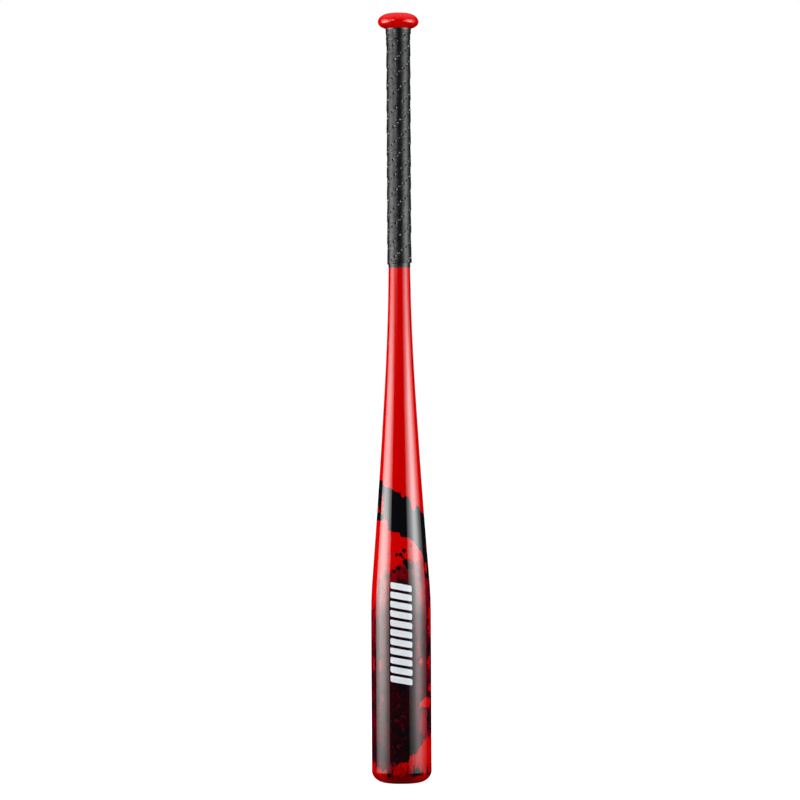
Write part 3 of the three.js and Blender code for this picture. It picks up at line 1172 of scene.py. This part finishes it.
def build_floor():
    """A white sweep that keeps the bat's own soft shadow and turns pure white further out."""
    graph = Graph("floor_white")
    _, (x, y, _) = graph.position()
    away = graph.math("SQRT", x.square() + y.square())
    paper = graph.add("BsdfDiffuse", Color=rgb(0.45, 0.45, 0.45))
    glow = graph.add("Emission", Color=rgb(1, 1, 1), Strength=away.over(0.35, 0.5) * 0.3 + 0.75)
    lit = graph.add("AddShader")
    graph.feed(lit.inputs[0], paper.outputs[0])
    graph.feed(lit.inputs[1], glow.outputs[0])
    graph.add("OutputMaterial", Surface=lit.outputs[0])
    disc = bmesh.new()
    bmesh.ops.create_circle(disc, cap_ends=True, segments=96, radius=FLOOR_RADIUS)
    mesh = bpy.data.meshes.new("floor")
    disc.to_mesh(mesh)
    disc.free()
    mesh.materials.append(graph.material)
    floor = bpy.data.objects.new("floor", mesh)
    bpy.context.scene.collection.objects.link(floor)
    floor.visible_diffuse = False
    floor.visible_glossy = False
    floor.visible_shadow = False


def light_world():
    """White for the camera. The gloss sees a dark room under a pale ceiling."""
    graph = Graph("studio", bpy.data.worlds)
    bpy.context.scene.world = graph.material
    direction = graph.add("TexCoord").outputs["Generated"]
    _, _, up = vector_parts(graph, direction)
    ceiling = up.over(0.6, 0.4)
    rays = graph.add("LightPath")
    for_gloss = graph.add("Background", Color=rgb(1, 1, 1), Strength=ceiling * 0.35)
    for_paint = graph.add("Background", Color=rgb(1, 1, 1), Strength=ceiling * 0.06 + 0.02)
    for_camera = graph.add("Background", Color=rgb(1, 1, 1))
    lit = graph.add("MixShader")
    graph.feed(lit.inputs[0], rays.outputs["Is Glossy Ray"])
    graph.feed(lit.inputs[1], for_paint.outputs[0])
    graph.feed(lit.inputs[2], for_gloss.outputs[0])
    seen = graph.add("MixShader")
    graph.feed(seen.inputs[0], rays.outputs["Is Camera Ray"])
    graph.feed(seen.inputs[1], lit.outputs[0])
    graph.feed(seen.inputs[2], for_camera.outputs[0])
    graph.add("OutputWorld", Surface=seen.outputs[0])


def place_camera():
    camera = bpy.data.objects.new("camera", bpy.data.cameras.new("camera"))
    bpy.context.scene.collection.objects.link(camera)
    camera.data.sensor_width = SENSOR_WIDTH
    camera.data.lens = SENSOR_WIDTH * CAMERA_DISTANCE / FIELD_WIDTH
    camera.location = (0, -CAMERA_DISTANCE, CAMERA_HEIGHT)
    camera.rotation_euler = (math.pi / 2, CAMERA_ROLL, 0)
    bpy.context.scene.camera = camera


# ---------------------------------------------------------------- put together


def dress_cad_node(node, material):
    """Gives a kept CAD node a new material in place of its packed one."""
    mesh_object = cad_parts[node]
    for material_slot in mesh_object.material_slots:
        material_slot.material = material


build_shell()
build_end_cap()
build_knob()
build_knob_plug()
vinyl = black_vinyl()
build_finish_tape(vinyl)
build_knob_tape(vinyl)
build_grip()
build_emblem()
dress_cad_node("grip_adhesive_strip", cotton_adhesive())
dress_cad_node("knob_weld_bead", bare_weld())
foam = damping_foam()
dress_cad_node("barrel_foam_damper", foam)
dress_cad_node("handle_damping_plug", foam)
build_floor()
for card_name, card_settings in CARDS.items():
    build_card(card_name, *card_settings)
build_top_light()
light_world()
place_camera()
bpy.context.scene.view_settings.view_transform = "Standard"
